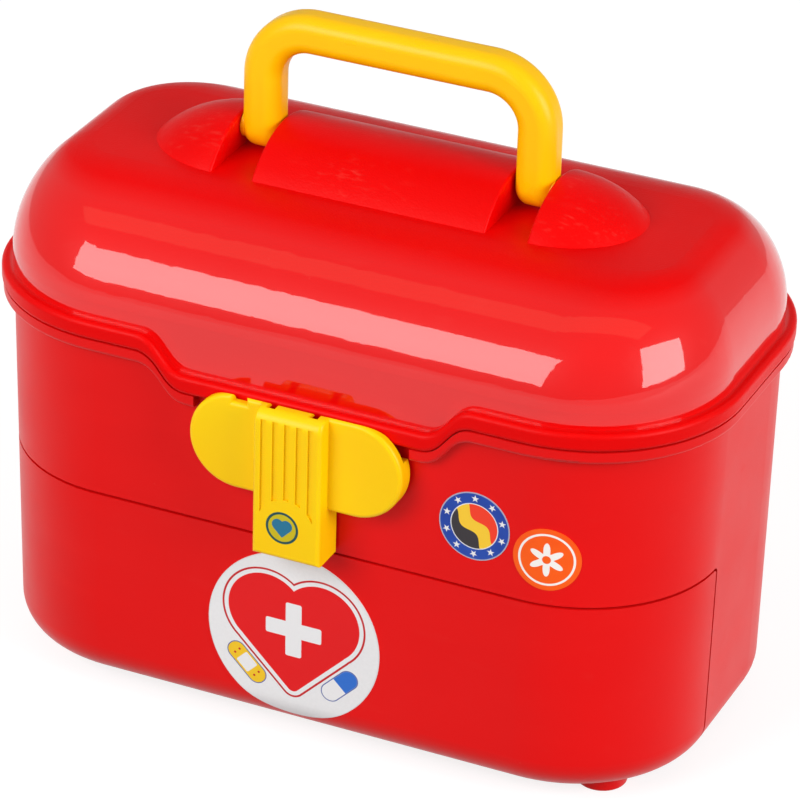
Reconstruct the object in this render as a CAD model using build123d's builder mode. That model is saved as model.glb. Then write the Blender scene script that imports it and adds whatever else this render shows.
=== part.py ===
from build123d import *
import os
from math import cos, hypot, radians, sin, tan

# Toy doctor case. Millimetres, +Z up, +X to the right, -Y to the front.
# The origin is on the table under the middle of the case.

# Body, measured at its mouth, where the lid meets it
BODY_LENGTH = 261.2
BODY_DEPTH = 143.5
CORNER_RADIUS = 51.4
DRAFT = 0.63                # degrees; the walls lean in towards the foot
WALL = 2.5
FLOOR = 2.5
MOUTH_HEIGHT = 141.0
WALL_BOTTOM = 5.2           # the case stands this far off the table on its feet
BOTTOM_EDGE_RADIUS = 12.5
FLANGE_HEIGHT = 4.4
FLANGE_PROUD = 3.8
FLANGE_ROUND = 1.6
LIP_HEIGHT = 3.0            # stands up inside the lid
LIP_ROOT = 4.0
LIP_THICKNESS = 1.8

# Dip of the mouth and the rim in the middle of the front
DIP = 12.0
DIP_INNER = 43.0
DIP_OUTER = 62.0
DIP_LEAN = 9.5              # how far the curve holds level at each end before it turns

# Feet
FOOT_X = 100.9
FOOT_Y = 42.6
FOOT_TOP_RADIUS = 9.7
FOOT_BOTTOM_RADIUS = 8.8
FOOT_EDGE_RADIUS = 1.2

# Drawer and the window it closes
SEAM_HEIGHT = 79.9
SEAM_GAP = 1.0
WINDOW_CORNER = 2.6
DRAWER_SKIN = 2.5
DRAWER_WALL = 2.2
DRAWER_FLOOR = 2.2
DRAWER_SIDE_GAP = 1.0
DRAWER_SEAT_GAP = 0.3
DRAWER_TOP_STEP = 5.0       # the tray's rear walls end this far below the front
TRAY_EDGE_RADIUS = 9.0      # under the tray, inside the body's own bottom edge

# Shelf between the two compartments
LEDGE_HEIGHT = 2.0
LEDGE_REACH = 3.5
SHELF = 2.2
SHELF_RIM = 4.0
SHELF_RIM_WALL = 1.8
SHELF_GAP = 0.4

# Lid
LID_GAP = 0.3               # between the rim and the flange
LID_GROW = 0.4              # the lid's wall stands this far outside the body's
LID_WALL = 2.4
RIM_HEIGHT = 6.8
RIM_PROUD = 4.3
RIM_ROUND = 1.7
DOME_START = 153.5
DOME_RISE = 34.0
DOME_INSET_X = 23.2
DOME_INSET_Y = 42.4
DOME_TOP_RADIUS = 14.4
DOME_FULLNESS = 1.8         # exponent of the dome's profile; 2 is an ellipse
DOME_SECTIONS = 9

# Ridge and pods that carry the handle
BOSS_RADIUS = 33.7
BOSS_HEIGHT = 13.0          # above the flat top of the dome
SLOT_WIDTH = 15.0
HANDLE_SPACING = 101.2      # between the middles of the two legs
POD_REACH = 40.0            # semi-axis of each pod's rounded end
POD_SEAT_RADIUS = 4.2
POD_SEAT_DEPTH = 6.6
BOSS_EDGE_RADIUS = 0.9

# Handle
HANDLE_WIDTH = 13.9
HANDLE_EDGE_RADIUS = 5.2
HANDLE_CORNER_RADIUS = 18.0
HANDLE_REACH = 38.5         # pivot to the middle of the bar
HANDLE_PIVOT_LIFT = 8.0     # above the flat top of the dome
HUB_RADIUS_AT_LEG = 5.0
HUB_SIDE_GAP = 0.3
HUB_RADIUS = 3.0
HUB_LENGTH = 5.0
PIVOT_CLEARANCE = 0.08

# Lid hinges at the back
HINGE_X = 60.0
HINGE_OFFSET = 9.2          # axis to the body's back wall
KNUCKLE_RADIUS = 4.5
LID_KNUCKLE = 12.0
BODY_KNUCKLE = 8.6
KNUCKLE_GAP = 0.4
PIN_RADIUS = 2.0
PIN_CLEARANCE = 0.06
PIN_PROUD = 0.6

# Latch, with distances "out" measured from the front wall at the mouth
LATCH_AXIS_OUT = 9.4
LATCH_AXIS_RISE = 2.6       # above the lowest stretch of the mouth
LATCH_KNUCKLE_RADIUS = 4.5
LATCH_WALL = 1.8
TAB_WIDTH = 25.0
TAB_LENGTH = 50.0           # below the axis
TAB_EDGE_RADIUS = 1.5
TAB_BACK_OUT = 0.5
WING_WIDTH = 78.4
WING_HEIGHT = 35.0
WING_RISE = 4.2             # above the axis
WING_OUT = 8.0
WING_BACK_OUT = 1.2
WING_THICKNESS = 2.1
WING_SKIRT = 2.0
WING_EDGE_RADIUS = 1.6
RIM_RELIEF_GAP = 0.6        # above the flange's foot the latch stays in front of the rim
RIM_RELIEF_OUT = 4.7
WING_SWING_RADIUS = 4.75    # the wings' top edge is trimmed to turn past the rim
FLANGE_GAP = 0.5            # between the wings' ends and the ends of the flange
NOTCH_X = -20.5
NOTCH_WIDTH = 5.0
NOTCH_DEPTH = 2.6
GROOVES = 5
GROOVE_PITCH = 4.35
GROOVE_WIDTH = 2.0
GROOVE_DEPTH = 0.7
GROOVE_RISE = 1.4           # above the axis
PRINT_DROP = 37.8           # middle of the print below the axis
PRINT_CLEAR = 10.6          # the grooves end this far from the middle of the print
LUG_RADIUS = 2.2
LUG_WIDTH = 2.6
LUG_SPACING = 15.6
LUG_WEB = 2.0
LUG_SIDE_GAP = 0.4
TRUNNION_RADIUS = 1.4
TRUNNION_END_GAP = 0.4
KNUCKLE_END = 1.0           # the slots for the lugs end this far in front of the axis
CATCH_DROP = 25.6           # bead on the case below the axis
CATCH_RADIUS = 1.4
CATCH_WIDTH = 18.0
CATCH_RIB = 1.6
CATCH_RIB_DROP = 4.5
CATCH_GAP = 0.4

# Round paper labels
LABEL_THICKNESS = 0.2
FRONT_LABEL = (-3.3, 43.0, 32.3)      # across, height and radius
BLUE_LABEL_INSET = 16.9               # middle of the blue label from where the corner begins
BLUE_LABEL = (104.0, 12.7)            # height and radius
ORANGE_LABEL = (80.0, 97.6, 11.6)     # degrees round the right corner (90 is the front), height, radius

# For picking edges
STEEPEST = 0.99                       # an edge steeper than this is an upright one
OUTLINE_TOLERANCE = 0.4

QUARTER = 90                          # degrees in a quarter turn

# Worked out from the above
REACH = BODY_LENGTH                   # any cutting block larger than the case
FRONT = -BODY_DEPTH / 2
BACK = BODY_DEPTH / 2
SPLIT_Y = FRONT + CORNER_RADIUS       # the drawer's front ends where the corners do
WINDOW_TOP = SEAM_HEIGHT + SEAM_GAP / 2
DRAWER_TOP = SEAM_HEIGHT - SEAM_GAP / 2
CORNER_X = BODY_LENGTH / 2 - CORNER_RADIUS
FLOOR_TOP = WALL_BOTTOM + FLOOR
TRAY_BOTTOM = FLOOR_TOP + DRAWER_SEAT_GAP
LEDGE_TOP = WINDOW_TOP + LEDGE_HEIGHT
DOME_TOP = DOME_START + DOME_RISE
BOSS_AXIS_HEIGHT = DOME_TOP + BOSS_HEIGHT - BOSS_RADIUS
PIVOT_HEIGHT = DOME_TOP + HANDLE_PIVOT_LIFT
RIDGE_HALF = (HANDLE_SPACING - SLOT_WIDTH) / 2
POD_FACE = (HANDLE_SPACING + SLOT_WIDTH) / 2
LEG_OUTER = (HANDLE_SPACING + HANDLE_WIDTH) / 2
HINGE_Y = BACK + HINGE_OFFSET
LATCH_AXIS_Y = FRONT - LATCH_AXIS_OUT
LATCH_AXIS_HEIGHT = MOUTH_HEIGHT - DIP + LATCH_AXIS_RISE
RIM_RELIEF_HEIGHT = MOUTH_HEIGHT - DIP - FLANGE_HEIGHT - RIM_RELIEF_GAP
WING_TOP = LATCH_AXIS_HEIGHT + WING_RISE
TAB_TOP = LATCH_AXIS_HEIGHT + LATCH_KNUCKLE_RADIUS
TAB_BOTTOM = LATCH_AXIS_HEIGHT - TAB_LENGTH
GROOVE_TOP = LATCH_AXIS_HEIGHT + GROOVE_RISE
PRINT_HEIGHT = LATCH_AXIS_HEIGHT - PRINT_DROP
CATCH_HEIGHT = LATCH_AXIS_HEIGHT - CATCH_DROP
TAB_FRONT_Y = LATCH_AXIS_Y - LATCH_KNUCKLE_RADIUS
TAB_INNER = TAB_WIDTH / 2 - LATCH_WALL
WING_MIDDLE = WING_TOP - WING_HEIGHT / 2
TRAY_FLOOR_TOP = TRAY_BOTTOM + DRAWER_FLOOR
SHELF_BOTTOM = LEDGE_TOP


def body_block(grow, bottom, top, edge=0):
    """The case's drafted outline between two heights, grown outwards, with a rounded bottom edge."""
    inset = (MOUTH_HEIGHT - bottom) * tan(radians(DRAFT)) - grow
    with BuildPart() as block:
        with BuildSketch(Plane.XY.offset(bottom)):
            RectangleRounded(BODY_LENGTH - 2 * inset, BODY_DEPTH - 2 * inset, CORNER_RADIUS - inset)
        extrude(amount=top - bottom, taper=-DRAFT)
        if edge > 0:
            fillet(block.faces().sort_by(Axis.Z)[0].edges(), radius=edge)
    return block.part


def lid_block(grow, bottom, top):
    """The lid's upright wall between two heights."""
    with BuildPart() as block:
        with BuildSketch(Plane.XY.offset(bottom)):
            RectangleRounded(BODY_LENGTH + 2 * grow, BODY_DEPTH + 2 * grow, CORNER_RADIUS + grow)
        extrude(amount=top - bottom)
    return block.part


def mouth_block(shift, far):
    """Everything between the dipped mouth line, raised by shift, and the level far."""
    high = MOUTH_HEIGHT + shift
    low = high - DIP
    with BuildPart() as block:
        with BuildSketch(Plane.XZ):
            with BuildLine():
                Line((-REACH, far), (-REACH, high))
                Line((-REACH, high), (-DIP_OUTER, high))
                Bezier(
                    (-DIP_OUTER, high), (-DIP_OUTER + DIP_LEAN, high),
                    (-DIP_INNER - DIP_LEAN, low), (-DIP_INNER, low),
                )
                Line((-DIP_INNER, low), (DIP_INNER, low))
                Bezier(
                    (DIP_INNER, low), (DIP_INNER + DIP_LEAN, low),
                    (DIP_OUTER - DIP_LEAN, high), (DIP_OUTER, high),
                )
                Line((DIP_OUTER, high), (REACH, high))
                Line((REACH, high), (REACH, far))
                Line((REACH, far), (-REACH, far))
            make_face()
        extrude(amount=REACH)
        with BuildSketch(Plane.XZ):
            with BuildLine():
                Polyline((-REACH, far), (-REACH, high), (REACH, high), (REACH, far), close=True)
            make_face()
        extrude(amount=-REACH)
    return block.part


def front_block(back_edge, bottom, top, corner):
    """The part of space in front of back_edge, with its upper back corner rounded."""
    with BuildPart() as block:
        with BuildSketch(Plane.YZ) as side:
            with BuildLine():
                Polyline((-REACH, bottom), (-REACH, top), (back_edge, top), (back_edge, bottom), close=True)
            make_face()
            fillet(side.vertices().group_by(Axis.X)[-1].sort_by(Axis.Y)[-1], radius=corner)
        extrude(amount=REACH, both=True)
    return block.part


def dome_block(shrink):
    """The rounded top of the lid, lofted through rings that follow its profile."""
    power = 2 / DOME_FULLNESS
    half_length = BODY_LENGTH / 2 + LID_GROW - shrink
    half_depth = BODY_DEPTH / 2 + LID_GROW - shrink
    corner = CORNER_RADIUS + LID_GROW - shrink
    with BuildPart() as block:
        for step in range(DOME_SECTIONS):
            angle = radians(QUARTER * step / (DOME_SECTIONS - 1))
            turn = 1 - cos(angle) ** power if step < DOME_SECTIONS - 1 else 1
            height = DOME_START + (DOME_RISE - shrink) * sin(angle) ** power
            with BuildSketch(Plane.XY.offset(height)):
                RectangleRounded(
                    2 * (half_length - DOME_INSET_X * turn),
                    2 * (half_depth - DOME_INSET_Y * turn),
                    corner + (DOME_TOP_RADIUS - shrink - corner) * turn,
                )
        loft()
    return block.part


def boss_block(shrink):
    """Ridge and both pods, turned about one axis that lies along the case."""
    radius = BOSS_RADIUS - shrink
    reach = POD_REACH - shrink
    face = POD_FACE + shrink
    half = RIDGE_HALF - shrink
    with BuildPart() as block:
        with BuildSketch(Plane.XZ):
            with Locations((0, BOSS_AXIS_HEIGHT + radius / 2)):
                Rectangle(2 * half, radius)
            for side in (-1, 1):
                with BuildLine():
                    Line((side * face, BOSS_AXIS_HEIGHT), (side * face, BOSS_AXIS_HEIGHT + radius))
                    EllipticalCenterArc(
                        (side * face, BOSS_AXIS_HEIGHT), reach, radius,
                        start_angle=0 if side > 0 else QUARTER, arc_size=QUARTER,
                    )
                    Line((side * (face + reach), BOSS_AXIS_HEIGHT), (side * face, BOSS_AXIS_HEIGHT))
                make_face()
        revolve(axis=Axis((0, 0, BOSS_AXIS_HEIGHT), (1, 0, 0)))
        if shrink == 0:
            rings = block.edges().filter_by(GeomType.CIRCLE).filter_by(lambda edge: edge.length > BOSS_RADIUS)
            fillet(rings, radius=BOSS_EDGE_RADIUS)
    return block.part


def x_cylinder(radius, length, centre):
    """A round bar along X about the point centre."""
    with BuildPart() as bar:
        with BuildSketch(Plane.YZ.offset(centre[0] - length / 2)):
            with Locations((centre[1], centre[2])):
                Circle(radius)
        extrude(amount=length)
    return bar.part


def box(x_range, y_range, z_range):
    """A plain block between pairs of limits."""
    with BuildPart() as block:
        with BuildSketch(Plane.XY.offset(z_range[0])):
            with Locations(((x_range[0] + x_range[1]) / 2, (y_range[0] + y_range[1]) / 2)):
                Rectangle(x_range[1] - x_range[0], y_range[1] - y_range[0])
        extrude(amount=z_range[1] - z_range[0])
    return block.part


def outline_edges(part, grow):
    """The edges of a ring that run along its outer face, which lies grow outside the body."""
    chosen = []
    for edge in part.edges():
        if edge.tangent_at(0.5).Z ** 2 > STEEPEST ** 2:
            continue
        middle = edge.position_at(0.5)
        across = max(abs(middle.X) - BODY_LENGTH / 2 + CORNER_RADIUS, 0)
        along = max(abs(middle.Y) - BODY_DEPTH / 2 + CORNER_RADIUS, 0)
        if abs(hypot(across, along) - CORNER_RADIUS - grow) < OUTLINE_TOLERANCE:
            chosen.append(edge)
    return chosen


def mouth_line(point):
    """Height of a point above the dipped mouth line."""
    if point.Y > 0 or abs(point.X) > DIP_OUTER:
        return point.Z - MOUTH_HEIGHT
    share = min(max((DIP_OUTER - abs(point.X)) / (DIP_OUTER - DIP_INNER), 0), 1)
    return point.Z - MOUTH_HEIGHT + DIP * (1 - cos(radians(180 * share))) / 2


os.makedirs("parts", exist_ok=True)

# Solids that several pieces share
outer_body = body_block(0, WALL_BOTTOM, MOUTH_HEIGHT + LIP_HEIGHT, BOTTOM_EDGE_RADIUS)
below_mouth = mouth_block(0, 0)
above_mouth = mouth_block(0, MOUTH_HEIGHT + REACH)

# Flange round the mouth, under the lid's rim; it leaves room for the latch
with BuildPart() as flange:
    add(body_block(FLANGE_PROUD, MOUTH_HEIGHT - DIP - 2 * FLANGE_HEIGHT, MOUTH_HEIGHT + LIP_HEIGHT))
    add(below_mouth, mode=Mode.INTERSECT)
    add(mouth_block(-FLANGE_HEIGHT, MOUTH_HEIGHT + REACH), mode=Mode.INTERSECT)
    add(body_block(-WALL / 2, 0, MOUTH_HEIGHT + LIP_HEIGHT), mode=Mode.SUBTRACT)
    lower = ShapeList(outline_edges(flange.part, FLANGE_PROUD))
    keep = [edge for edge in lower if mouth_line(edge.position_at(0.5)) < -FLANGE_HEIGHT / 2]
    fillet(keep, radius=FLANGE_ROUND)
    half_gap = WING_WIDTH / 2 + FLANGE_GAP
    add(
        box((-half_gap, half_gap), (FRONT - 2 * FLANGE_PROUD, FRONT + WALL), (0, MOUTH_HEIGHT)),
        mode=Mode.SUBTRACT,
    )

# Lip that stands up inside the lid
with BuildPart() as lip:
    add(body_block(-WALL, MOUTH_HEIGHT - DIP - 2 * LIP_ROOT, MOUTH_HEIGHT + 2 * LIP_HEIGHT))
    add(mouth_block(LIP_HEIGHT, 0), mode=Mode.INTERSECT)
    add(mouth_block(-LIP_ROOT, MOUTH_HEIGHT + REACH), mode=Mode.INTERSECT)

# Shelf ledge round the inside, level with the foot of the front wall
with BuildPart() as ledge:
    add(body_block(-WALL / 2, WINDOW_TOP, LEDGE_TOP))
    add(body_block(-WALL - LEDGE_REACH, WINDOW_TOP - WALL, LEDGE_TOP + WALL), mode=Mode.SUBTRACT)

with BuildPart() as hollow:
    add(body_block(-WALL, FLOOR_TOP, MOUTH_HEIGHT, BOTTOM_EDGE_RADIUS - WALL))
    add(mouth_block(-LIP_ROOT, 0), mode=Mode.INTERSECT)

with BuildPart() as case_shell:
    add(outer_body)
    add(flange.part)
    add(above_mouth, mode=Mode.SUBTRACT)
    add(lip.part)
    add(body_block(-WALL - LIP_THICKNESS, LEDGE_TOP, MOUTH_HEIGHT + 3 * LIP_HEIGHT), mode=Mode.SUBTRACT)
    add(hollow.part, mode=Mode.SUBTRACT)
    add(front_block(SPLIT_Y, FLOOR_TOP, WINDOW_TOP, WINDOW_CORNER), mode=Mode.SUBTRACT)
    add(ledge.part)
    # Feet, hollow from above like the rest of the moulding
    for x in (-FOOT_X, FOOT_X):
        for y in (-FOOT_Y, FOOT_Y):
            with BuildSketch(Plane.XY):
                with Locations((x, y)):
                    Circle(FOOT_BOTTOM_RADIUS)
            with BuildSketch(Plane.XY.offset(FLOOR_TOP)):
                with Locations((x, y)):
                    Circle(FOOT_TOP_RADIUS)
            loft()
    fillet(case_shell.faces().group_by(Axis.Z)[0].edges(), radius=FOOT_EDGE_RADIUS)
    with BuildSketch(Plane.XY.offset(FLOOR)):
        with GridLocations(2 * FOOT_X, 2 * FOOT_Y, 2, 2):
            Circle(FOOT_BOTTOM_RADIUS - WALL)
    extrude(amount=WALL_BOTTOM, mode=Mode.SUBTRACT)
    # Bead that the latch snaps over
    catch_y = FRONT + (MOUTH_HEIGHT - CATCH_HEIGHT) * tan(radians(DRAFT))
    add(x_cylinder(CATCH_RADIUS, CATCH_WIDTH, (0, catch_y, CATCH_HEIGHT)))
    add(body_block(-WALL, LEDGE_TOP, MOUTH_HEIGHT - DIP - LIP_ROOT), mode=Mode.SUBTRACT)
    # Hinge ears behind the back wall
    for side in (-1, 1):
        for end in (-1, 1):
            centre = side * HINGE_X + end * (LID_KNUCKLE / 2 + KNUCKLE_GAP + BODY_KNUCKLE / 2)
            add(x_cylinder(KNUCKLE_RADIUS, BODY_KNUCKLE, (centre, HINGE_Y, MOUTH_HEIGHT)))
            add(box(
                (centre - BODY_KNUCKLE / 2, centre + BODY_KNUCKLE / 2),
                (BACK - WALL / 2, HINGE_Y),
                (MOUTH_HEIGHT - KNUCKLE_RADIUS, MOUTH_HEIGHT),
            ))
            add(x_cylinder(PIN_RADIUS, BODY_KNUCKLE, (centre, HINGE_Y, MOUTH_HEIGHT)), mode=Mode.SUBTRACT)
case_shell.part.label = "case_shell"
export_step(case_shell.part, "parts/case_shell.step")

# Hinge pins, held fast by the ears and running free in the lid
pin_length = LID_KNUCKLE + 2 * (KNUCKLE_GAP + BODY_KNUCKLE + PIN_PROUD)
for side, name in ((-1, "hinge_pin_left"), (1, "hinge_pin_right")):
    with BuildPart() as hinge_pin:
        add(x_cylinder(PIN_RADIUS, pin_length, (side * HINGE_X, HINGE_Y, MOUTH_HEIGHT)))
        chamfer(hinge_pin.edges().filter_by(GeomType.CIRCLE), length=PIN_PROUD / 2)
    hinge_pin.part.label = name
    export_step(hinge_pin.part, f"parts/{name}.step")

# Shelf: a plate with a low rim, laid on the ledge
with BuildPart() as shelf:
    add(body_block(-WALL - SHELF_GAP, SHELF_BOTTOM, SHELF_BOTTOM + SHELF + SHELF_RIM))
    plate_top = SHELF_BOTTOM + SHELF
    add(
        body_block(-WALL - SHELF_GAP - SHELF_RIM_WALL, plate_top, plate_top + 2 * SHELF_RIM),
        mode=Mode.SUBTRACT,
    )
shelf.part.label = "shelf"
export_step(shelf.part, "parts/shelf.step")

# Drawer: a tray whose curved front is the lower front of the case
front_edge = SPLIT_Y - SEAM_GAP
tray_top = DRAWER_TOP - DRAWER_TOP_STEP
with BuildPart() as drawer_front:
    add(outer_body)
    add(front_block(front_edge, TRAY_BOTTOM, DRAWER_TOP, WINDOW_CORNER - SEAM_GAP), mode=Mode.INTERSECT)

with BuildPart() as front_hollow:
    add(body_block(-DRAWER_SKIN, TRAY_FLOOR_TOP, DRAWER_TOP + WALL, BOTTOM_EDGE_RADIUS - DRAWER_SKIN))
    add(front_block(front_edge - DRAWER_WALL, 0, 2 * DRAWER_TOP, WALL), mode=Mode.INTERSECT)

tray_inset = WALL + DRAWER_SIDE_GAP
with BuildPart() as drawer:
    add(drawer_front.part)
    add(body_block(-tray_inset, TRAY_BOTTOM, tray_top, TRAY_EDGE_RADIUS))
    add(front_hollow.part, mode=Mode.SUBTRACT)
    inner_edge = TRAY_EDGE_RADIUS - DRAWER_WALL
    add(
        body_block(-tray_inset - DRAWER_WALL, TRAY_FLOOR_TOP, DRAWER_TOP + WALL, inner_edge),
        mode=Mode.SUBTRACT,
    )
drawer.part.label = "drawer"
export_step(drawer.part, "parts/drawer.step")

# Lid
with BuildPart() as rim:
    add(lid_block(RIM_PROUD, MOUTH_HEIGHT - 2 * DIP, MOUTH_HEIGHT + 2 * DIP))
    add(mouth_block(LID_GAP, MOUTH_HEIGHT + REACH), mode=Mode.INTERSECT)
    add(mouth_block(RIM_HEIGHT, 0), mode=Mode.INTERSECT)
    add(lid_block(LID_GROW - LID_WALL / 2, 0, MOUTH_HEIGHT + REACH), mode=Mode.SUBTRACT)
    fillet(outline_edges(rim.part, RIM_PROUD), radius=RIM_ROUND)

with BuildPart() as lid_hollow:
    add(lid_block(LID_GROW - LID_WALL, MOUTH_HEIGHT - 2 * DIP, DOME_START))
    add(dome_block(LID_WALL))
    add(boss_block(LID_WALL))

bore_depth = HUB_LENGTH + HUB_SIDE_GAP
with BuildPart() as lid:
    add(lid_block(LID_GROW, MOUTH_HEIGHT - 2 * DIP, DOME_START))
    add(mouth_block(LID_GAP, MOUTH_HEIGHT + REACH), mode=Mode.INTERSECT)
    add(dome_block(0))
    add(boss_block(0))
    add(rim.part)
    add(lid_hollow.part, mode=Mode.SUBTRACT)
    for side in (-1, 1):
        # Seats for the handle's hubs, inside the pods
        seat_x = side * (POD_FACE + POD_SEAT_DEPTH / 2)
        bore_x = side * (POD_FACE + bore_depth / 2)
        add(x_cylinder(POD_SEAT_RADIUS, POD_SEAT_DEPTH, (seat_x, 0, PIVOT_HEIGHT)))
        add(
            x_cylinder(HUB_RADIUS + PIVOT_CLEARANCE, bore_depth, (bore_x, 0, PIVOT_HEIGHT)),
            mode=Mode.SUBTRACT,
        )
        # Hinge knuckles at the back
        add(x_cylinder(KNUCKLE_RADIUS, LID_KNUCKLE, (side * HINGE_X, HINGE_Y, MOUTH_HEIGHT)))
        add(box(
            (side * HINGE_X - LID_KNUCKLE / 2, side * HINGE_X + LID_KNUCKLE / 2),
            (BACK + LID_GROW - LID_WALL / 2, HINGE_Y),
            (MOUTH_HEIGHT + LID_GAP, MOUTH_HEIGHT + KNUCKLE_RADIUS),
        ))
        add(
            x_cylinder(PIN_RADIUS + PIN_CLEARANCE, LID_KNUCKLE, (side * HINGE_X, HINGE_Y, MOUTH_HEIGHT)),
            mode=Mode.SUBTRACT,
        )
        # Lugs for the latch at the front; their webs sit low, out of the way of its knuckle
        lug_x = side * LUG_SPACING / 2
        add(x_cylinder(LUG_RADIUS, LUG_WIDTH, (lug_x, LATCH_AXIS_Y, LATCH_AXIS_HEIGHT)))
        add(box(
            (lug_x - LUG_WIDTH / 2, lug_x + LUG_WIDTH / 2),
            (LATCH_AXIS_Y, FRONT + LID_WALL / 2),
            (LATCH_AXIS_HEIGHT - LUG_RADIUS, LATCH_AXIS_HEIGHT - LUG_RADIUS + LUG_WEB),
        ))
        lug_bore = TRUNNION_RADIUS + PIVOT_CLEARANCE
        add(
            x_cylinder(lug_bore, LUG_WIDTH, (lug_x, LATCH_AXIS_Y, LATCH_AXIS_HEIGHT)),
            mode=Mode.SUBTRACT,
        )
lid.part.label = "lid"
export_step(lid.part, "parts/lid.step")

# Handle
leg_x = HANDLE_SPACING / 2
bar_height = PIVOT_HEIGHT + HANDLE_REACH
with BuildPart() as handle:
    with BuildLine(Plane.XZ):
        FilletPolyline(
            (-leg_x, PIVOT_HEIGHT), (-leg_x, bar_height), (leg_x, bar_height), (leg_x, PIVOT_HEIGHT),
            radius=HANDLE_CORNER_RADIUS,
        )
    with BuildSketch(Plane.XY.offset(PIVOT_HEIGHT)):
        with Locations((-leg_x, 0)):
            RectangleRounded(HANDLE_WIDTH, HANDLE_WIDTH, HANDLE_EDGE_RADIUS)
    sweep()
    # Round lower ends, turned half way about the pivot
    with BuildSketch(Plane.XY.offset(PIVOT_HEIGHT)):
        with Locations((-leg_x, 0), (leg_x, 0)):
            RectangleRounded(HANDLE_WIDTH, HANDLE_WIDTH, HANDLE_EDGE_RADIUS)
        with Locations((0, -HANDLE_WIDTH / 2)):
            Rectangle(2 * LEG_OUTER, HANDLE_WIDTH, mode=Mode.SUBTRACT)
    revolve(axis=Axis((0, 0, PIVOT_HEIGHT), (-1, 0, 0)), revolution_arc=180)
    for side in (-1, 1):
        hub_end = POD_FACE - HUB_SIDE_GAP
        add(x_cylinder(HUB_RADIUS_AT_LEG, hub_end - leg_x, (side * (hub_end + leg_x) / 2, 0, PIVOT_HEIGHT)))
        stub_end = POD_FACE + HUB_LENGTH
        add(x_cylinder(HUB_RADIUS, stub_end - leg_x, (side * (stub_end + leg_x) / 2, 0, PIVOT_HEIGHT)))
handle.part.label = "handle"
export_step(handle.part, "parts/handle.step")

# Latch: two wings and a hollow tab, hung from the lid's lugs
skirt_back = FRONT - WING_BACK_OUT
with BuildPart() as wings:
    with BuildSketch(Plane.XZ.offset(-skirt_back)):
        with Locations((0, WING_MIDDLE)):
            SlotOverall(WING_WIDTH, WING_HEIGHT)
        with Locations((NOTCH_X, WING_TOP)):
            Rectangle(NOTCH_WIDTH, 2 * NOTCH_DEPTH, mode=Mode.SUBTRACT)
    extrude(amount=WING_OUT - WING_BACK_OUT)
    fillet(wings.faces().sort_by(Axis.Y)[0].edges(), radius=WING_EDGE_RADIUS)
    with BuildSketch(Plane.XZ.offset(-skirt_back)):
        with Locations((0, WING_MIDDLE)):
            SlotOverall(WING_WIDTH - 2 * WING_SKIRT, WING_HEIGHT - 2 * WING_SKIRT)
        with Locations((NOTCH_X, WING_TOP - WING_SKIRT)):
            Rectangle(NOTCH_WIDTH + 2 * WING_SKIRT, 2 * NOTCH_DEPTH, mode=Mode.SUBTRACT)
    extrude(amount=WING_OUT - WING_BACK_OUT - WING_THICKNESS, mode=Mode.SUBTRACT)
    # Room for the lid's rim behind the upper edge
    add(
        box((-WING_WIDTH, WING_WIDTH), (FRONT - RIM_RELIEF_OUT, 0), (RIM_RELIEF_HEIGHT, MOUTH_HEIGHT)),
        mode=Mode.SUBTRACT,
    )

# What lies above and behind the pivot has to turn within a narrow round
with BuildPart() as swing_room:
    add(box((-WING_WIDTH, WING_WIDTH), (LATCH_AXIS_Y, 0), (LATCH_AXIS_HEIGHT, MOUTH_HEIGHT)))
    add(
        x_cylinder(WING_SWING_RADIUS, 3 * WING_WIDTH, (0, LATCH_AXIS_Y, LATCH_AXIS_HEIGHT)),
        mode=Mode.SUBTRACT,
    )

tab_back = FRONT - TAB_BACK_OUT
relief_back = FRONT - RIM_RELIEF_OUT
with BuildPart() as tab:
    with BuildSketch(Plane.YZ):
        with BuildLine():
            CenterArc((LATCH_AXIS_Y, LATCH_AXIS_HEIGHT), LATCH_KNUCKLE_RADIUS, QUARTER, QUARTER)
            Polyline(
                (LATCH_AXIS_Y, TAB_TOP),
                (relief_back, TAB_TOP),
                (relief_back, RIM_RELIEF_HEIGHT),
                (tab_back, RIM_RELIEF_HEIGHT),
                (tab_back, TAB_BOTTOM),
                (TAB_FRONT_Y, TAB_BOTTOM),
                (TAB_FRONT_Y, LATCH_AXIS_HEIGHT),
            )
        make_face()
    extrude(amount=TAB_WIDTH / 2, both=True)
    tab_front = tab.faces().filter_by(Axis.Y).sort_by(Axis.Y)[0].edges()
    fillet(tab_front.filter_by(Axis.Z) + tab_front.sort_by(Axis.Z)[:1], radius=TAB_EDGE_RADIUS)

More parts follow.
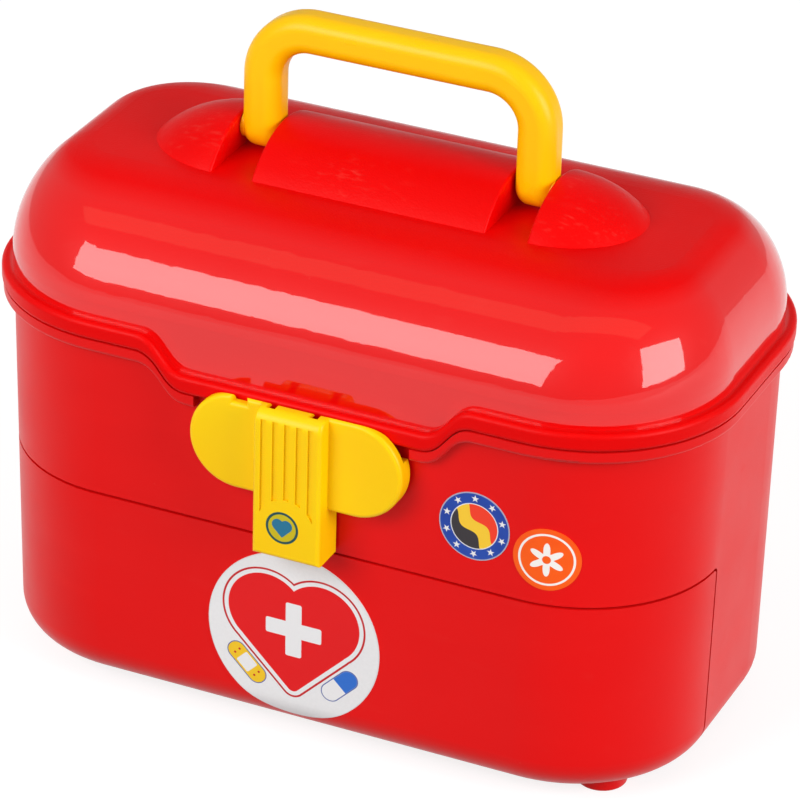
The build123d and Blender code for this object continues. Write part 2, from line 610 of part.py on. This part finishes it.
with BuildPart() as latch:
    add(wings.part)
    add(tab.part)
    add(swing_room.part, mode=Mode.SUBTRACT)
    # Hollow of the tab, open at the back up to its top wall
    add(
        box(
            (-TAB_INNER, TAB_INNER),
            (TAB_FRONT_Y + LATCH_WALL, 0),
            (TAB_BOTTOM + LATCH_WALL, LATCH_AXIS_HEIGHT),
        ),
        mode=Mode.SUBTRACT,
    )
    add(
        box((-TAB_INNER, TAB_INNER), (LATCH_AXIS_Y, 0), (RIM_RELIEF_HEIGHT, TAB_TOP - LATCH_WALL)),
        mode=Mode.SUBTRACT,
    )
    add(
        x_cylinder(LATCH_KNUCKLE_RADIUS - LATCH_WALL, 2 * TAB_INNER, (0, LATCH_AXIS_Y, LATCH_AXIS_HEIGHT)),
        mode=Mode.SUBTRACT,
    )
    # Slots in the top wall, which the lugs' webs pass as the latch swings
    slot_half = LUG_WIDTH / 2 + LUG_SIDE_GAP
    for side in (-1, 1):
        lug_x = side * LUG_SPACING / 2
        add(
            box(
                (lug_x - slot_half, lug_x + slot_half),
                (LATCH_AXIS_Y - KNUCKLE_END, 0),
                (LATCH_AXIS_HEIGHT, MOUTH_HEIGHT),
            ),
            mode=Mode.SUBTRACT,
        )
    # Trunnions that turn in the lid's lugs
    for side in (-1, 1):
        inner_end = (LUG_SPACING - LUG_WIDTH) / 2 + TRUNNION_END_GAP
        outer_end = TAB_WIDTH / 2 - LATCH_WALL / 2
        add(x_cylinder(
            TRUNNION_RADIUS, outer_end - inner_end,
            (side * (outer_end + inner_end) / 2, LATCH_AXIS_Y, LATCH_AXIS_HEIGHT),
        ))
    # Rib that snaps past the bead on the case
    rib_top = CATCH_HEIGHT - CATCH_RIB_DROP + CATCH_RIB / 2
    add(box(
        (-TAB_INNER - LATCH_WALL / 2, TAB_INNER + LATCH_WALL / 2),
        (TAB_FRONT_Y + LATCH_WALL / 2, catch_y - CATCH_RADIUS - CATCH_GAP),
        (rib_top - CATCH_RIB, rib_top),
    ))
    # Grip grooves down the tab, stopping round the print
    with BuildSketch(Plane.XZ.offset(-TAB_FRONT_Y)):
        with GridLocations(GROOVE_PITCH, 0, GROOVES, 1):
            with Locations((0, (GROOVE_TOP + PRINT_HEIGHT) / 2)):
                Rectangle(GROOVE_WIDTH, GROOVE_TOP - PRINT_HEIGHT)
        with Locations((0, PRINT_HEIGHT)):
            Circle(PRINT_CLEAR, mode=Mode.SUBTRACT)
    extrude(amount=-GROOVE_DEPTH, mode=Mode.SUBTRACT)
latch.part.label = "latch"
export_step(latch.part, "parts/latch.step")

# Paper labels, each a thin skin on the face that it is stuck to
label_stock = body_block(
    LABEL_THICKNESS, WALL_BOTTOM - LABEL_THICKNESS, MOUTH_HEIGHT - DIP, BOTTOM_EDGE_RADIUS + LABEL_THICKNESS,
)
blue_x = CORNER_X - BLUE_LABEL_INSET
for name, (x, height, radius) in (("label_front", FRONT_LABEL), ("label_blue", (blue_x, *BLUE_LABEL))):
    with BuildPart() as label:
        with BuildSketch(Plane.XZ):
            with Locations((x, height)):
                Circle(radius)
        extrude(amount=REACH)
        add(label_stock, mode=Mode.INTERSECT)
        add(outer_body, mode=Mode.SUBTRACT)
    label.part.label = name
    export_step(label.part, f"parts/{name}.step")

turn, height, radius = ORANGE_LABEL
outward = (cos(radians(turn)), -sin(radians(turn)), 0)
along = (sin(radians(turn)), cos(radians(turn)), 0)
with BuildPart() as label_orange:
    with BuildSketch(Plane((CORNER_X, SPLIT_Y, height), x_dir=along, z_dir=outward)):
        Circle(radius)
    extrude(amount=REACH)
    add(label_stock, mode=Mode.INTERSECT)
    add(outer_body, mode=Mode.SUBTRACT)
label_orange.part.label = "label_orange"
export_step(label_orange.part, "parts/label_orange.step")
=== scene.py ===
"""Looks of a toy doctor case: materials, floor, light and camera around its CAD frame."""
import math

import bpy
from mathutils import Matrix, Vector

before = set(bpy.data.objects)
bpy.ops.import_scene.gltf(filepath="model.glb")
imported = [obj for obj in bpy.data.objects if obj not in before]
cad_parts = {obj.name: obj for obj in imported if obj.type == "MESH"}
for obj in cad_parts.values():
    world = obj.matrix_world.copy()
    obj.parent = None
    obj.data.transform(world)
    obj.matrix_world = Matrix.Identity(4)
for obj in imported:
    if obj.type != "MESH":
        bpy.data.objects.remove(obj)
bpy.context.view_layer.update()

# ---------------------------------------------------------------- case_shell
# The body: one red moulding with drafted walls, floor, feet and a flange round the mouth.
# Real one: polypropylene, injection moulded in one shot, its outside left satin by a
# finely eroded mould, with faint flow marks and fine scuffs from use.

RED = (0.80, 0.0, 0.0004, 1)
RED_DEEP = (0.74, 0.0, 0.0003, 1)
RED_WARM = (0.82, 0.002, 0.001, 1)
RED_CHALK = (0.82, 0.08, 0.06, 1)
PLASTIC_IOR = 1.49
NOISE_SPAN = (0.3, 0.7)        # most values of a noise lie between these
GRAIN_DEPTH = 0.00003          # metres of relief at a bump height of 1


class Value:
    """One number in a material's node tree. Arithmetic on it adds Math nodes."""

    def __init__(self, tree, socket):
        self.tree = tree
        self.socket = socket

    def math(self, operation, *others, clamp=False):
        node = self.tree.nodes.new("ShaderNodeMath")
        node.operation = operation
        node.use_clamp = clamp
        for slot, value in zip(node.inputs, (self, *others)):
            if isinstance(value, Value):
                self.tree.links.new(value.socket, slot)
            else:
                slot.default_value = value
        return Value(self.tree, node.outputs[0])

    def __add__(self, other):
        return self.math("ADD", other)

    def __sub__(self, other):
        return self.math("SUBTRACT", other)

    def __mul__(self, other):
        return self.math("MULTIPLY", other)

    def __rsub__(self, other):
        return self.math("MULTIPLY_ADD", -1.0, other)

    def __neg__(self):
        return self.math("MULTIPLY", -1.0)

    def abs(self):
        return self.math("ABSOLUTE")

    def min(self, other):
        return self.math("MINIMUM", other)

    def max(self, other):
        return self.math("MAXIMUM", other)

    def cover(self, soft):
        """1 inside a shape and 0 outside, from the signed distance to its edge."""
        return self.math("MULTIPLY_ADD", -1 / soft, 0.5, clamp=True)


class Material:
    """A material whose shader is one Principled node, with helpers that add nodes before it."""

    def __init__(self, name, **settings):
        self.material = bpy.data.materials.new(name)
        self.material.use_nodes = True
        self.tree = self.material.node_tree
        self.shader = self.tree.nodes["Principled BSDF"]
        for key, value in settings.items():
            self.shader.inputs[key.replace("_", " ")].default_value = value

    def node(self, kind, settings=None, **inputs):
        """Adds a node, with properties from settings and input sockets by name."""
        node = self.tree.nodes.new(kind)
        for key, value in (settings or {}).items():
            setattr(node, key, value)
        for key, value in inputs.items():
            self.put(value, node.inputs[key.replace("_", " ")])
        return node

    def put(self, value, slot):
        if isinstance(value, Value):
            self.tree.links.new(value.socket, slot)
        elif isinstance(value, bpy.types.NodeSocket):
            self.tree.links.new(value, slot)
        else:
            slot.default_value = value

    def place(self):
        """Object coordinates of the shaded point, in metres."""
        return self.node("ShaderNodeTexCoord").outputs["Object"]

    def axes(self):
        """The same as three Values, in millimetres."""
        split = self.node("ShaderNodeSeparateXYZ", Vector=self.place())
        return [Value(self.tree, split.outputs[axis]) * 1000.0 for axis in "XYZ"]

    def noise(self, scale, detail=2.0, stretch=(1, 1, 1)):
        """Noise from 0 to 1 with about scale cells to the metre."""
        mapped = self.node("ShaderNodeMapping", Vector=self.place(), Scale=stretch)
        node = self.node("ShaderNodeTexNoise", Vector=mapped.outputs[0], Scale=scale, Detail=detail)
        return Value(self.tree, node.outputs["Fac"])

    def ramp(self, value, low, high, start=0.0, end=1.0):
        """value taken from the range low..high to start..end."""
        node = self.node("ShaderNodeMapRange", {"clamp": True})
        for slot, entry in zip(node.inputs, (value, low, high, start, end)):
            self.put(entry, slot)
        return Value(self.tree, node.outputs[0])

    def mix(self, factor, first, second):
        """Colour first where factor is 0 and second where it is 1."""
        node = self.node("ShaderNodeMix", {"data_type": "RGBA"})
        self.put(factor, node.inputs[0])
        self.put(first, node.inputs[6])
        self.put(second, node.inputs[7])
        return node.outputs[2]

    def bump(self, height, distance):
        node = self.node("ShaderNodeBump", Height=height, Distance=distance, Strength=1.0)
        self.put(node.outputs[0], self.shader.inputs["Normal"])

    def colour(self, value):
        self.put(value, self.shader.inputs["Base Color"])

    def rough(self, value):
        self.put(value, self.shader.inputs["Roughness"])


def wear(node, material):
    """Gives a CAD node's mesh one material."""
    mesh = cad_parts[node].data
    mesh.materials.clear()
    mesh.materials.append(material.material)


def moulded_red(name, roughness, **settings):
    """Red plastic with slow colour drift, faint flow marks, scuffs and dust.

    Gives the material and its tone. The caller sets the colour and the bump."""
    red = Material(name, IOR=PLASTIC_IOR, **settings)
    drift = red.ramp(red.noise(9.0, detail=3.0), *NOISE_SPAN)
    flow = red.ramp(red.noise(30.0, detail=4.0, stretch=(0.35, 1, 2.2)), 0.42, 0.75)
    tone = red.mix(flow * 0.35, red.mix(drift, RED_DEEP, RED), RED_WARM)
    scuff = red.ramp(red.noise(160.0, detail=5.0, stretch=(0.25, 1, 1)), 0.62, 0.74)
    speck = red.ramp(red.noise(420.0, detail=3.0), 0.74, 0.80)
    tone = red.mix((scuff * 0.04).max(speck * 0.2), tone, RED_CHALK)
    patches = red.noise(45.0, detail=3.0)
    base = red.ramp(patches, *NOISE_SPAN, roughness - 0.03, roughness + 0.03)
    red.rough(base + scuff * 0.05)
    return red, tone


def satin_red(name, roughness, grain, **settings):
    """Red plastic as it leaves a finely eroded mould, with the given share of grain."""
    red, tone = moulded_red(name, roughness, **settings)
    red.colour(tone)
    red.bump(red.noise(2600.0) * grain + red.noise(70.0) * 1.4, GRAIN_DEPTH)
    return red


SATIN_SPECULAR = 0.22
OUTSIDE = {"Specular_IOR_Level": SATIN_SPECULAR, "Sheen_Weight": 0.10, "Sheen_Roughness": 0.3}

wear("case_shell", satin_red("red_body", 0.38, 1.0, **OUTSIDE))

# --------------------------------------------------------------------- shelf
# The floor of the upper compartment: a flat plate with a low rim, dropped onto a ledge.
# Real one: the same red plastic as the body, moulded by itself and left satin.

wear("shelf", satin_red("red_shelf", 0.42, 1.3, Specular_IOR_Level=SATIN_SPECULAR))

# ------------------------------------------------------- hinge_pin_left, _right
# The pins of the two lid hinges: drawn steel wire, cut to length with eased ends.
# Real ones: bright zinc plate over steel, with fine rings left by the drawing die.

ZINC_DULL = (0.50, 0.50, 0.51, 1)
ZINC_BRIGHT = (0.66, 0.66, 0.68, 1)

steel = Material("pin_steel", Metallic=1.0)
steel.colour(steel.mix(steel.ramp(steel.noise(500.0), 0.35, 0.65), ZINC_DULL, ZINC_BRIGHT))
drawn = steel.noise(900.0, detail=3.0, stretch=(0.1, 1, 1))
steel.rough(steel.ramp(drawn, *NOISE_SPAN, 0.22, 0.38))
steel.bump(steel.noise(4000.0, stretch=(3, 0.2, 0.2)), 0.00001)
wear("hinge_pin_left", steel)
wear("hinge_pin_right", steel)

# -------------------------------------------------------------------- drawer
# The lower compartment: a tray whose curved front closes the lower front of the case.
# Real one: red plastic like the body, moulded in one piece with the tray.

wear("drawer", satin_red("red_drawer", 0.38, 1.0, **OUTSIDE))

# ----------------------------------------------------------------------- lid
# The domed lid with its rim, ridge and two pods for the handle.
# Real one: red plastic. The sides of the dome are polished and mirror the lamps, while
# its flat top, the ridge, the pods and the rim are left satin like the body.

SHOULDER = (181.5, 185.5)      # heights between which the polish fades into the satin top
RIDGE_FOOT = (187.5, 189.0)    # and between which the rub marks on ridge and pods begin
MOUTH = (130.6, 71.75, 51.4)   # half length, half depth and corner of the case's mouth
RIM_STEP = (1.0, 1.8)          # distances outside it between which the satin rim begins
RUB_SHARE = 0.30


def disc(x, z, radius):
    """Distance to the edge of a round area about the origin, negative inside."""
    return (x * x + z * z).math("SQRT") - radius


def slab(x, z, half_x, half_z, corner):
    """The same for a rectangle with rounded corners."""
    over_x = x.abs() - (half_x - corner)
    over_z = z.abs() - (half_z - corner)
    return disc(over_x.max(0.0), over_z.max(0.0), corner) + over_x.max(over_z).min(0.0)


red_lid, lid_tone = moulded_red(
    "red_lid", 0.38, Specular_IOR_Level=0.10, Coat_IOR=1.52, Coat_Roughness=0.04
)
x, y, height = red_lid.axes()
top = red_lid.ramp(height, *SHOULDER)
rim = red_lid.ramp(slab(x, y, *MOUTH), *RIM_STEP)
satin = top.max(rim)
red_lid.put(1.0 - satin, red_lid.shader.inputs["Coat Weight"])
streaks = red_lid.ramp(red_lid.noise(700.0, detail=5.0, stretch=(0.3, 1, 1)), 0.55, 0.75)
patches = red_lid.ramp(red_lid.noise(35.0, detail=3.0), 0.48, 0.62)
rub = streaks * patches * red_lid.ramp(height, *RIDGE_FOOT)
red_lid.colour(red_lid.mix(rub * RUB_SHARE, lid_tone, RED_CHALK))
grain = red_lid.noise(1500.0, detail=3.0) * satin
red_lid.bump(grain * 3.0 + red_lid.noise(70.0) * 0.3, GRAIN_DEPTH)
wear("lid", red_lid)

# -------------------------------------------------------------------- handle
# The carrying handle: a thick round-edged bow that swings between the pods.
# Real one: yellow plastic, moulded in one piece, satin, with faint sink marks.

YELLOW = (1.0, 0.58, 0.001, 1)
YELLOW_DEEP = (0.98, 0.52, 0.0008, 1)


def moulded_yellow(name, roughness, light, deep):
    """Yellow plastic with slow colour drift, fine grain and light scuffs."""
    yellow = Material(
        name,
        IOR=PLASTIC_IOR,
        Specular_IOR_Level=0.2,
        Subsurface_Weight=0.05,
        Subsurface_Scale=0.003,
    )
    drift = yellow.ramp(yellow.noise(14.0, detail=3.0), *NOISE_SPAN)
    scuff = yellow.ramp(yellow.noise(220.0, detail=5.0, stretch=(0.3, 1, 1)), 0.6, 0.75)
    patches = yellow.noise(60.0, detail=3.0)
    base = yellow.ramp(patches, *NOISE_SPAN, roughness - 0.03, roughness + 0.04)
    yellow.rough(base + scuff * 0.06)
    yellow.bump(yellow.noise(2400.0) * 0.8 + yellow.noise(90.0), GRAIN_DEPTH)
    return yellow, yellow.mix(drift, deep, light)


yellow_handle, handle_tone = moulded_yellow("yellow_handle", 0.30, YELLOW, YELLOW_DEEP)
yellow_handle.colour(handle_tone)
wear("handle", yellow_handle)

# --------------------------------------------------------------- label_front
# The large round sticker on the drawer: white coated paper, printed in colour with a
# heart, a sticking plaster and a capsule. It is die-cut, with a slightly greyed edge.

PAPER = (0.86, 0.86, 0.87, 1)
PAPER_SHADE = (0.83, 0.83, 0.84, 1)
PAPER_CUT = (0.60, 0.55, 0.55, 1)
INK_RED = (0.78, 0.006, 0.008, 1)
INK_DARK_RED = (0.56, 0.01, 0.015, 1)
INK_YELLOW = (0.92, 0.58, 0.02, 1)
INK_BLUE = (0.015, 0.06, 0.32, 1)
INK_BRIGHT_BLUE = (0.03, 0.16, 0.62, 1)
INK_EDGE = 0.2                 # millimetres over which one ink gives way to the next
FRONT_LABEL = (-3.3, 43.0, 32.3)   # x, z and radius
HEART = 29.0                   # side of the heart's square
HEART_DROP = 2.5               # how far its middle is below the label's, and the plus above
HEART_LINE = (1.9, 0.38)       # distance and half width of the line round it
PLUS = (10.5, 3.0)             # reach and half width
MOTIF_X, MOTIF_DROP = 17.6, 15.0   # plaster and capsule, left and right below the heart
PLASTER = (8.6, 3.4, 3.2)      # half length, half width and corner, as for slab
PAD = (3.0, 2.7, 0.5)
HOLES = (5.2, 1.2, 0.45)       # offsets and radius of the plaster's four air holes
CAPSULE = (8.0, 3.3, 3.3)
OUTLINE = 0.35
CUT_EDGE = (0.35, 0.3, 0.35)   # width, softness and strength of the greyed edge


def turned(x, z, degrees):
    """The axes turned anticlockwise."""
    c, s = math.cos(math.radians(degrees)), math.sin(math.radians(degrees))
    return x * c + z * s, z * c - x * s


def heart(x, z, side):
    """A heart: a square on its corner with a half disc on each upper side."""
    u, v = turned(x, z, 45)
    lobes = disc(u - side / 2, v, side / 2).min(disc(u, v - side / 2, side / 2))
    return slab(u, v, side / 2, side / 2, side / 12).min(lobes)


def plus(x, z, reach, half_width):
    """A plus sign with slightly rounded ends."""
    upright = slab(x, z, half_width, reach, half_width / 4)
    return upright.min(slab(x, z, reach, half_width, half_width / 4))


def coated_paper(name):
    """Glossy label stock: faint calender waves and fibres under a thin smooth coat."""
    paper = Material(name, Specular_IOR_Level=0.2, Coat_Weight=0.08, Coat_Roughness=0.15)
    paper.rough(paper.ramp(paper.noise(300.0, detail=3.0), *NOISE_SPAN, 0.34, 0.44))
    paper.bump(paper.noise(60.0) * 1.5 + paper.noise(1800.0, detail=3.0) * 0.5, 0.00002)
    return paper


label = coated_paper("label_white")
x, _, z = label.axes()
x, z = x - FRONT_LABEL[0], z - FRONT_LABEL[1]
print_red = heart(x, z + HEART_DROP, HEART)
fibres = label.ramp(label.noise(900.0, detail=4.0), *NOISE_SPAN)
art = label.mix(fibres, PAPER, PAPER_SHADE)
line = (print_red - HEART_LINE[0]).abs() - HEART_LINE[1]
art = label.mix(line.cover(INK_EDGE), art, INK_DARK_RED)
art = label.mix(print_red.cover(INK_EDGE), art, INK_RED)
art = label.mix(plus(x, z - HEART_DROP, *PLUS).cover(INK_EDGE), art, PAPER)
u, v = turned(x + MOTIF_X, z + MOTIF_DROP, -45)
plaster = slab(u, v, *PLASTER)
art = label.mix((plaster - OUTLINE).cover(INK_EDGE), art, INK_BLUE)
art = label.mix(plaster.cover(INK_EDGE), art, INK_YELLOW)
art = label.mix(slab(u, v, *PAD).cover(INK_EDGE), art, PAPER)
holes = disc(u.abs() - HOLES[0], v.abs() - HOLES[1], HOLES[2])
art = label.mix(holes.cover(INK_EDGE), art, INK_DARK_RED)
u, v = turned(x - MOTIF_X, z + MOTIF_DROP, 45)
capsule = slab(u, v, *CAPSULE)
art = label.mix((capsule - OUTLINE).cover(INK_EDGE), art, INK_BLUE)
art = label.mix(capsule.cover(INK_EDGE), art, PAPER)
art = label.mix(capsule.max(-u).cover(INK_EDGE), art, INK_BRIGHT_BLUE)
edge = (FRONT_LABEL[2] - CUT_EDGE[0] - disc(x, z, 0.0)).cover(CUT_EDGE[1])
label.colour(label.mix(edge * CUT_EDGE[2], art, PAPER_CUT))
wear("label_front", label)

# ---------------------------------------------------------------- label_blue
# The small blue sticker on the right of the front: coated paper, a ring of white stars
# round a disc of waving bands.

RING_BLUE = (0.012, 0.05, 0.34, 1)
RING_BLUE_LIGHT = (0.02, 0.075, 0.42, 1)
RING_LINE = (0.85, 0.86, 0.88, 1)
RING_CUT = (0.40, 0.42, 0.55, 1)
BAND_RED = (0.90, 0.05, 0.02, 1)
BAND_YELLOW = (0.95, 0.60, 0.04, 1)
BAND_CHARCOAL = (0.035, 0.03, 0.035, 1)
BLUE_LABEL = (62.3, 104.0, 12.7)   # x, z and radius
BAND_RISE = (0.75, 0.66)       # direction across the bands
BAND_WAVE = (0.55, 1.3)        # how quickly they wave, and how far
BAND_HALF = 2.6                # half width of the middle band
RING_LINE_IN, RING_IN = 8.3, 8.6   # radii where the pale line and the blue ring start
RING_CUT_EDGE = 0.4
STARS = 10
STAR = 1.35                    # radius of a star's points
STAR_NOTCH = 0.42              # radius of its notches, as a share of that
STAR_CIRCLE = 10.45            # radius of the circle of stars


def star(x, z, tip, notch):
    """A five-pointed star: the distance to one edge, with the plane folded onto one point."""
    fold = math.radians(36)
    angle = ((x.math("ARCTAN2", z) + fold).math("FLOORED_MODULO", 2 * fold) - fold).abs()
    far = (x * x + z * z).math("SQRT")
    edge = (notch * tip * math.cos(fold) - tip, notch * tip * math.sin(fold))
    size = math.hypot(*edge)
    outwards = far * angle.math("COSINE") - tip
    sideways = far * angle.math("SINE")
    return outwards * (edge[1] / size) - sideways * (edge[0] / size)


badge = coated_paper("label_blue")
x, _, z = badge.axes()
x, z = x - BLUE_LABEL[0], z - BLUE_LABEL[1]
out = disc(x, z, 0.0)
along = z * BAND_RISE[0] - x * BAND_RISE[1]
across = x * BAND_RISE[0] + z * BAND_RISE[1]
wave = across + (along * BAND_WAVE[0]).math("SINE") * BAND_WAVE[1]
art = badge.mix((wave - BAND_HALF).cover(INK_EDGE), BAND_RED, BAND_YELLOW)
art = badge.mix((wave + BAND_HALF).cover(INK_EDGE), art, BAND_CHARCOAL)
art = badge.mix((RING_LINE_IN - out).cover(INK_EDGE), art, RING_LINE)
ring = badge.mix(badge.ramp(badge.noise(120.0), *NOISE_SPAN), RING_BLUE, RING_BLUE_LIGHT)
art = badge.mix((RING_IN - out).cover(INK_EDGE), art, ring)
share = 2 * math.pi / STARS
turn = x.math("ARCTAN2", z)
beside = (turn + share / 2).math("FLOORED_MODULO", share) - share / 2
star_x = out * beside.math("SINE")
star_z = out * beside.math("COSINE") - STAR_CIRCLE
art = badge.mix(star(star_x, star_z, STAR, STAR_NOTCH).cover(INK_EDGE), art, PAPER)
edge = (BLUE_LABEL[2] - RING_CUT_EDGE - out).cover(INK_EDGE)
badge.colour(badge.mix(edge, art, RING_CUT))
wear("label_blue", badge)

# -------------------------------------------------------------- label_orange
# The small orange sticker on the right corner: coated paper with a white ring and a
# simple six-petalled flower. It is bent round the corner, and its pattern is laid on
# straight, square to the middle of the label.

ORANGE = (0.95, 0.095, 0.003, 1)
ORANGE_LIGHT = (0.98, 0.12, 0.005, 1)
INK_CREAM = (0.93, 0.90, 0.86, 1)
ORANGE_LABEL = (79.2, -20.35, 97.6)    # the middle of the corner's bend, and the label's z
ORANGE_TURN = 80.0             # degrees from the right side round to the label
CREAM_RING = (9.4, 0.38)       # radius and half width
PETALS = 6
PETAL = (4.4, 1.9)             # mean radius of the petals, and how far they swing
PETAL_EDGE = 0.3
FLOWER_EYE = 1.5

sticker = coated_paper("label_orange")
x, y, z = sticker.axes()
turn = math.radians(ORANGE_TURN)
x = (x - ORANGE_LABEL[0]) * math.sin(turn) + (y - ORANGE_LABEL[1]) * math.cos(turn)
z = z - ORANGE_LABEL[2]
out = disc(x, z, 0.0)
tone = sticker.mix(sticker.ramp(sticker.noise(110.0), *NOISE_SPAN), ORANGE, ORANGE_LIGHT)
line = (out - CREAM_RING[0]).abs() - CREAM_RING[1]
art = sticker.mix(line.cover(INK_EDGE), tone, INK_CREAM)
petal = (x.math("ARCTAN2", z) * PETALS).math("COSINE") * PETAL[1] + PETAL[0]
art = sticker.mix((out - petal).cover(PETAL_EDGE), art, INK_CREAM)
sticker.colour(sticker.mix((out - FLOWER_EYE).cover(INK_EDGE), art, tone))
wear("label_orange", sticker)

# --------------------------------------------------------------------- latch
# The latch: two flat wings and a hollow grooved tab that snaps over the case's bead.
# Real one: yellow plastic, with a small round badge pad-printed near its foot.

PRINT = (-1.2, 93.8, 6.0)      # x, z and radius
PRINT_RING = 0.45              # half width of the ring at its edge
PRINT_HEART = (0.6, 4.4)       # drop and side
PRINT_GREEN = (0.42, 0.42, 0.015, 1)
PRINT_BLUE = (0.02, 0.17, 0.30, 1)
PRINT_TEAL = (0.006, 0.07, 0.075, 1)
PRINT_SHARE = 0.7              # how much of the yellow the green covers
TAB_FRONT = -85.65             # y of the tab's front face, the only one that is printed
FACE_DEPTH, FACE_EDGE = 0.3, 0.1
YELLOW_PALE = (1.0, 0.65, 0.001, 1)

yellow_latch, latch_tone = moulded_yellow("yellow_latch", 0.32, YELLOW_PALE, YELLOW)
x, y, z = yellow_latch.axes()
x, z = x - PRINT[0], z - PRINT[1]
out = disc(x, z, 0.0)
face = (y - TAB_FRONT - FACE_DEPTH).cover(FACE_EDGE)
green = (out - PRINT[2]).cover(INK_EDGE) * face * PRINT_SHARE
art = yellow_latch.mix(green, latch_tone, PRINT_GREEN)
blue = heart(x, z + PRINT_HEART[0], PRINT_HEART[1]).cover(INK_EDGE) * face
art = yellow_latch.mix(blue, art, PRINT_BLUE)
ring = ((out - (PRINT[2] - PRINT_RING)).abs() - PRINT_RING).cover(INK_EDGE)
yellow_latch.colour(yellow_latch.mix(ring * face, art, PRINT_TEAL))
wear("latch", yellow_latch)

# ----------------------------------------------------- floor, light and camera
# A white floor under an even grey world, with two large soft boxes to the left and right
# of the camera and a dim warm panel overhead. The floor keeps the case's shadow.

REACH = 6.0                    # half side of the floor, in metres
FLOOR_GREY = (0.3, 0.3, 0.3, 1)
FLOOR_GLOW = 0.80              # added to the lit grey for a plain white
WORLD_LIGHT = 0.39
BLACK = (0, 0, 0, 1)
WHITE = (1, 1, 1, 1)

corners = [(-REACH, -REACH, 0), (REACH, -REACH, 0), (REACH, REACH, 0), (-REACH, REACH, 0)]
floor_mesh = bpy.data.meshes.new("floor")
floor_mesh.from_pydata(corners, [], [(0, 1, 2, 3)])
floor = bpy.data.objects.new("floor", floor_mesh)
bpy.context.scene.collection.objects.link(floor)
white = Material("floor_white", Base_Color=FLOOR_GREY, Roughness=0.6, Specular_IOR_Level=0.0)
floor_mesh.materials.append(white.material)
light_path = white.node("ShaderNodeLightPath")
camera_ray, glossy_ray, transmission_ray = (
    Value(white.tree, light_path.outputs[f"Is {kind} Ray"])
    for kind in ("Camera", "Glossy", "Transmission")
)
glow = (camera_ray + glossy_ray + transmission_ray).min(1.0) * FLOOR_GLOW
white.put(white.mix(glow, BLACK, WHITE), white.shader.inputs["Emission Color"])
white.put(1.0, white.shader.inputs["Emission Strength"])

world = bpy.data.worlds.new("studio")
bpy.context.scene.world = world
world.use_nodes = True
background = world.node_tree.nodes["Background"]
background.inputs["Color"].default_value = WHITE
background.inputs["Strength"].default_value = WORLD_LIGHT


def aim(thing, across, up, away, place):
    """Puts a lamp or the camera at a place in metres, facing against away, and links it."""
    turn = Matrix((across, up, away)).transposed().to_4x4()
    thing.matrix_world = Matrix.Translation(place) @ turn
    bpy.context.scene.collection.objects.link(thing)


def soft_box(name, middle, yaw, pitch, roll, size, brightness, colour=(1, 1, 1)):
    """A rectangular lamp that shines as bright as brightness times white, facing away from
    the direction that yaw and pitch give: yaw 0 is a lamp straight in front of the case."""
    data = bpy.data.lights.new(name, "AREA")
    data.shape = "RECTANGLE"
    data.size, data.size_y = size
    data.energy = brightness * math.pi * size[0] * size[1]
    data.color = colour
    lamp = bpy.data.objects.new(name, data)
    lamp.visible_camera = False
    ahead = math.cos(pitch)
    away = Vector((math.sin(yaw) * ahead, -math.cos(yaw) * ahead, math.sin(pitch)))
    side = away.cross(Vector((0, 0, 1))).normalized()
    across = side * math.cos(roll) + side.cross(away) * math.sin(roll)
    aim(lamp, across, away.cross(across), away, middle)


soft_box(
    "left_box",
    middle=(-0.503, -0.976, 0.732),
    yaw=-0.22,
    pitch=0.446,
    roll=0.103,
    size=(0.842, 0.674),
    brightness=5.9,
)
soft_box(
    "right_box",
    middle=(1.673, -0.251, 0.754),
    yaw=0.732,
    pitch=0.139,
    roll=-0.021,
    size=(1.234, 0.988),
    brightness=7.2,
)
soft_box(
    "overhead",
    middle=(0.0, -0.34, 1.40),
    yaw=0.0,
    pitch=math.pi / 2 - 0.001,
    roll=0.0,
    size=(2.0, 0.34),
    brightness=0.52,
    colour=(1.0, 0.68, 0.42),
)

# The camera that was fitted to the photograph. Angles are in radians, the focal length is
# in pixels of the photograph, and the shifts, the distance and the rise in millimetres.
YAW, PITCH, ROLL = 0.41703, 0.49377, 0.02886
FOCAL, SHIFT_X, SHIFT_Y, DISTANCE = 4604.2, -4.7, -83.2872, 1643.424
FIT_RISE = 7.0
PHOTO_WIDTH = 800
SENSOR = 36.0
FAR_CLIP = 30.0

forward = Vector(
    (-math.sin(YAW) * math.cos(PITCH), math.cos(YAW) * math.cos(PITCH), -math.sin(PITCH))
)
level = Vector((math.cos(YAW), math.sin(YAW), 0))
upright = level.cross(forward)
right = level * math.cos(ROLL) + upright * math.sin(ROLL)
above = upright * math.cos(ROLL) - level * math.sin(ROLL)
eye = -(forward * DISTANCE + right * SHIFT_X + above * SHIFT_Y) + Vector((0, 0, FIT_RISE))
camera_data = bpy.data.cameras.new("camera")
camera_data.sensor_width = SENSOR
camera_data.lens = FOCAL / PHOTO_WIDTH * SENSOR
camera_data.clip_end = FAR_CLIP
camera = bpy.data.objects.new("camera", camera_data)
aim(camera, right, above, -forward, eye / 1000)
bpy.context.scene.camera = camera

bpy.context.scene.view_settings.view_transform = "Standard"
